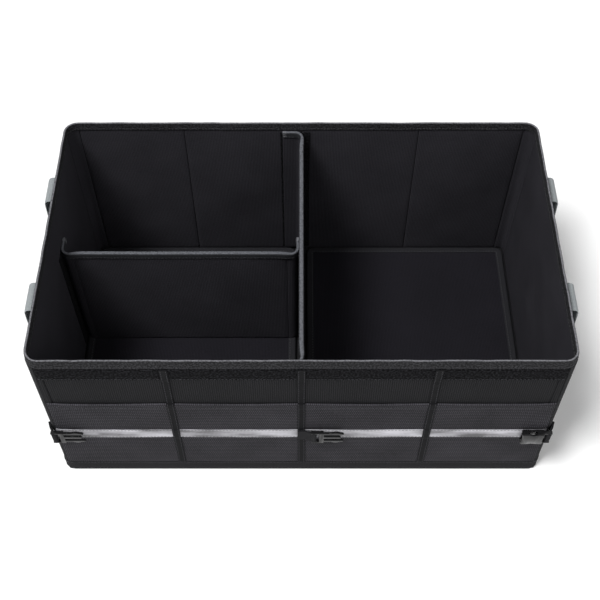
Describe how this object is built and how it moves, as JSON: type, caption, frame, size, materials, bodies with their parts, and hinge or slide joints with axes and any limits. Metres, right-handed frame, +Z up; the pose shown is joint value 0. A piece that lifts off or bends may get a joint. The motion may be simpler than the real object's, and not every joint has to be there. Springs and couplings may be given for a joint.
{
  "type": "car storage box",
  "caption": "Open collapsible cloth storage box for a car boot, with lift-in dividers, front pocket, webbing handles and side-release buckle halves.",
  "frame": {"origin": "centre of the underside", "axes": "+X to the right along the length seen from the pocket side, +Y from the pocket side to the back, +Z up"},
  "size_m": [0.6278, 0.3634, 0.27],
  "materials": {
    "wall_cloth": "matt ribbed woven cloth outside, plain cloth inside",
    "binding_tape": "matt woven tape",
    "edge_tape": "woven tape, a little lighter",
    "loop_tape": "fuzzy hook-and-loop tape",
    "pocket_cloth": "matt ribbed cloth",
    "reflective": "silver reflective tape",
    "board_cloth": "plain lining cloth over a stiff board",
    "grey_webbing": "light grey ribbed webbing",
    "black_webbing": "black webbing",
    "black_plastic": "glossy moulded plastic"
  },
  "bodies": {
    "root": {"bottom_panel": "wall_cloth", "front_panel_1": "wall_cloth", "front_panel_2": "wall_cloth", "front_panel_3": "wall_cloth", "front_panel_4": "wall_cloth", "back_panel_1": "wall_cloth", "back_panel_2": "wall_cloth", "back_panel_3": "wall_cloth", "back_panel_4": "wall_cloth", "left_panel": "wall_cloth", "right_panel": "wall_cloth", "corner_gusset_front_left": "wall_cloth", "corner_gusset_front_right": "wall_cloth", "corner_gusset_back_right": "wall_cloth", "corner_gusset_back_left": "wall_cloth", "rim_binding": "binding_tape", "foot_band": "binding_tape", "corner_binding_front_left": "binding_tape", "corner_binding_front_right": "binding_tape", "corner_binding_back_right": "binding_tape", "corner_binding_back_left": "binding_tape", "front_tape_left": "binding_tape", "front_tape_centre": "binding_tape", "front_tape_right": "binding_tape", "base_board_binding_left": "binding_tape", "base_board_binding_right": "binding_tape", "main_divider_binding": "edge_tape", "cross_divider_binding": "edge_tape", "front_loop_strip": "loop_tape", "loop_strip_back_wall": "loop_tape", "loop_strip_front_wall": "loop_tape", "loop_strip_left_wall": "loop_tape", "loop_strip_main_divider": "loop_tape", "pocket_panel": "pocket_cloth", "reflective_strip": "reflective", "base_board_left": "board_cloth", "base_board_right": "board_cloth", "main_divider_panel": "board_cloth", "main_divider_tab_rear": "board_cloth", "main_divider_tab_front": "board_cloth", "cross_divider_panel": "board_cloth", "cross_divider_tab_left": "board_cloth", "cross_divider_tab_right": "board_cloth", "handle_left": "grey_webbing", "handle_right": "grey_webbing", "buckle_loop_left": "black_webbing", "buckle_loop_centre": "black_webbing", "buckle_loop_right": "black_webbing"},
    "buckle_left": {"buckle_arms_left": "black_plastic"},
    "buckle_centre": {"buckle_arms_centre": "black_plastic"},
    "buckle_right": {"buckle_socket_right": "black_plastic"}
  },
  "joints": [
    {"name": "buckle_left_swing", "type": "hinge", "parent": "root", "child": "buckle_left", "pos_m": [-0.295, -0.1824, 0.104], "axis": [0, 0, -1], "range_deg": [0, 110]},
    {"name": "buckle_centre_swing", "type": "hinge", "parent": "root", "child": "buckle_centre", "pos_m": [0.015, -0.1824, 0.104], "axis": [0, 0, -1], "range_deg": [0, 110]},
    {"name": "buckle_right_swing", "type": "hinge", "parent": "root", "child": "buckle_right", "pos_m": [0.295, -0.1824, 0.104], "axis": [0, 0, 1], "range_deg": [0, 110]}
  ]
}
